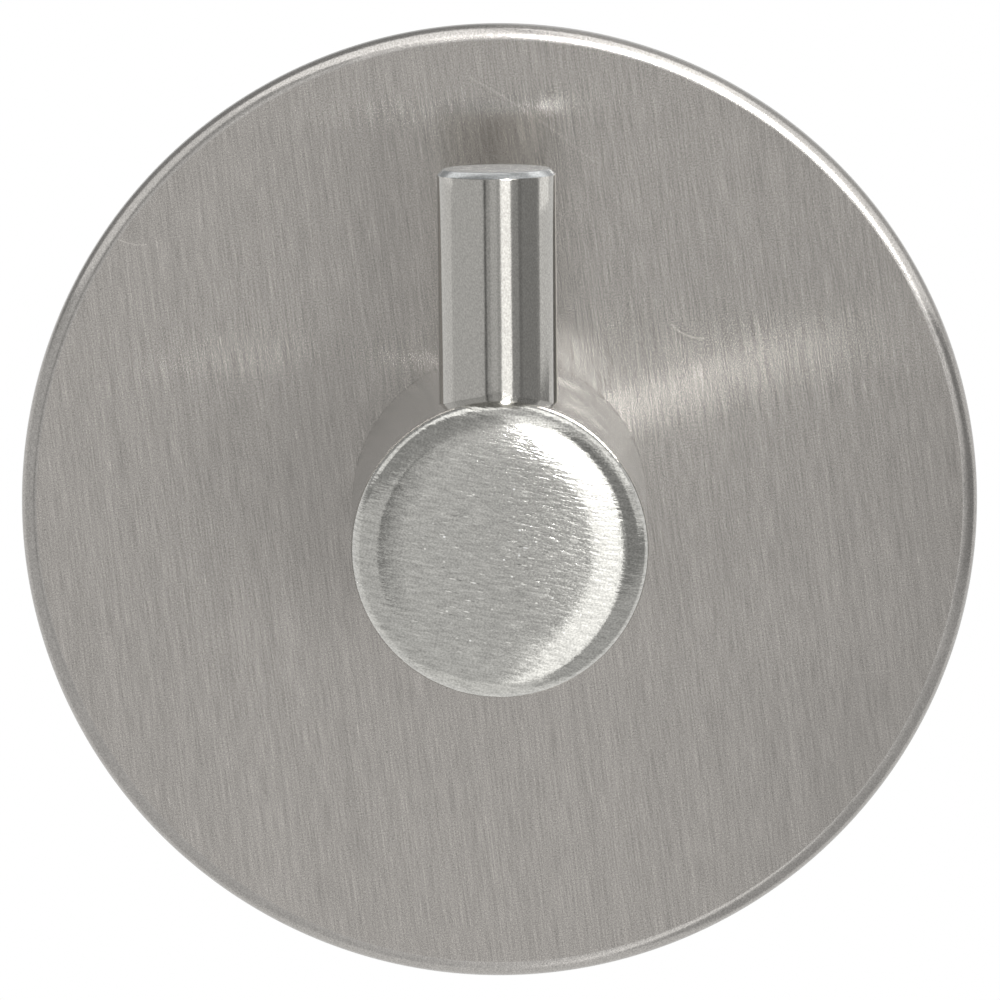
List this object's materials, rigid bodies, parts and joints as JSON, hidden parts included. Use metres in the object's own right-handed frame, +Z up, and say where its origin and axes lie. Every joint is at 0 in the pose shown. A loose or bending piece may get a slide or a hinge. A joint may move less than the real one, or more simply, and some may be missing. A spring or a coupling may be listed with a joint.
{
  "type": "wall hook",
  "caption": "Round brushed-steel wall hook: a disc with an adhesive pad behind it, a short round hub and an upright peg that keeps a hanging loop on the hub.",
  "frame": {"origin": "centre of the face that goes to the wall, which is the back of the release liner", "axes": "+Y points into the wall, the hook stands out along -Y, +Z is up along the peg, +X is to the right of someone facing the hook"},
  "size_m": [0.065, 0.0401, 0.065],
  "materials": {
    "plate_steel": "satin",
    "hub_steel": "satin",
    "peg_steel": "gloss",
    "screw_steel": "satin",
    "adhesive": "gloss",
    "foam": "matte",
    "liner_paper": "satin"
  },
  "bodies": {
    "hook": {"back_plate": "plate_steel", "hub": "hub_steel", "peg": "peg_steel", "hub_screw": "screw_steel", "plate_adhesive": "adhesive", "foam_pad": "foam", "wall_adhesive": "adhesive"},
    "liner": {"release_liner": "liner_paper"}
  },
  "joints": [
    {"name": "liner_peel", "type": "slide", "parent": "hook", "child": "liner", "axis": [0, 1, 0], "range_m": [0, 0.03]}
  ]
}
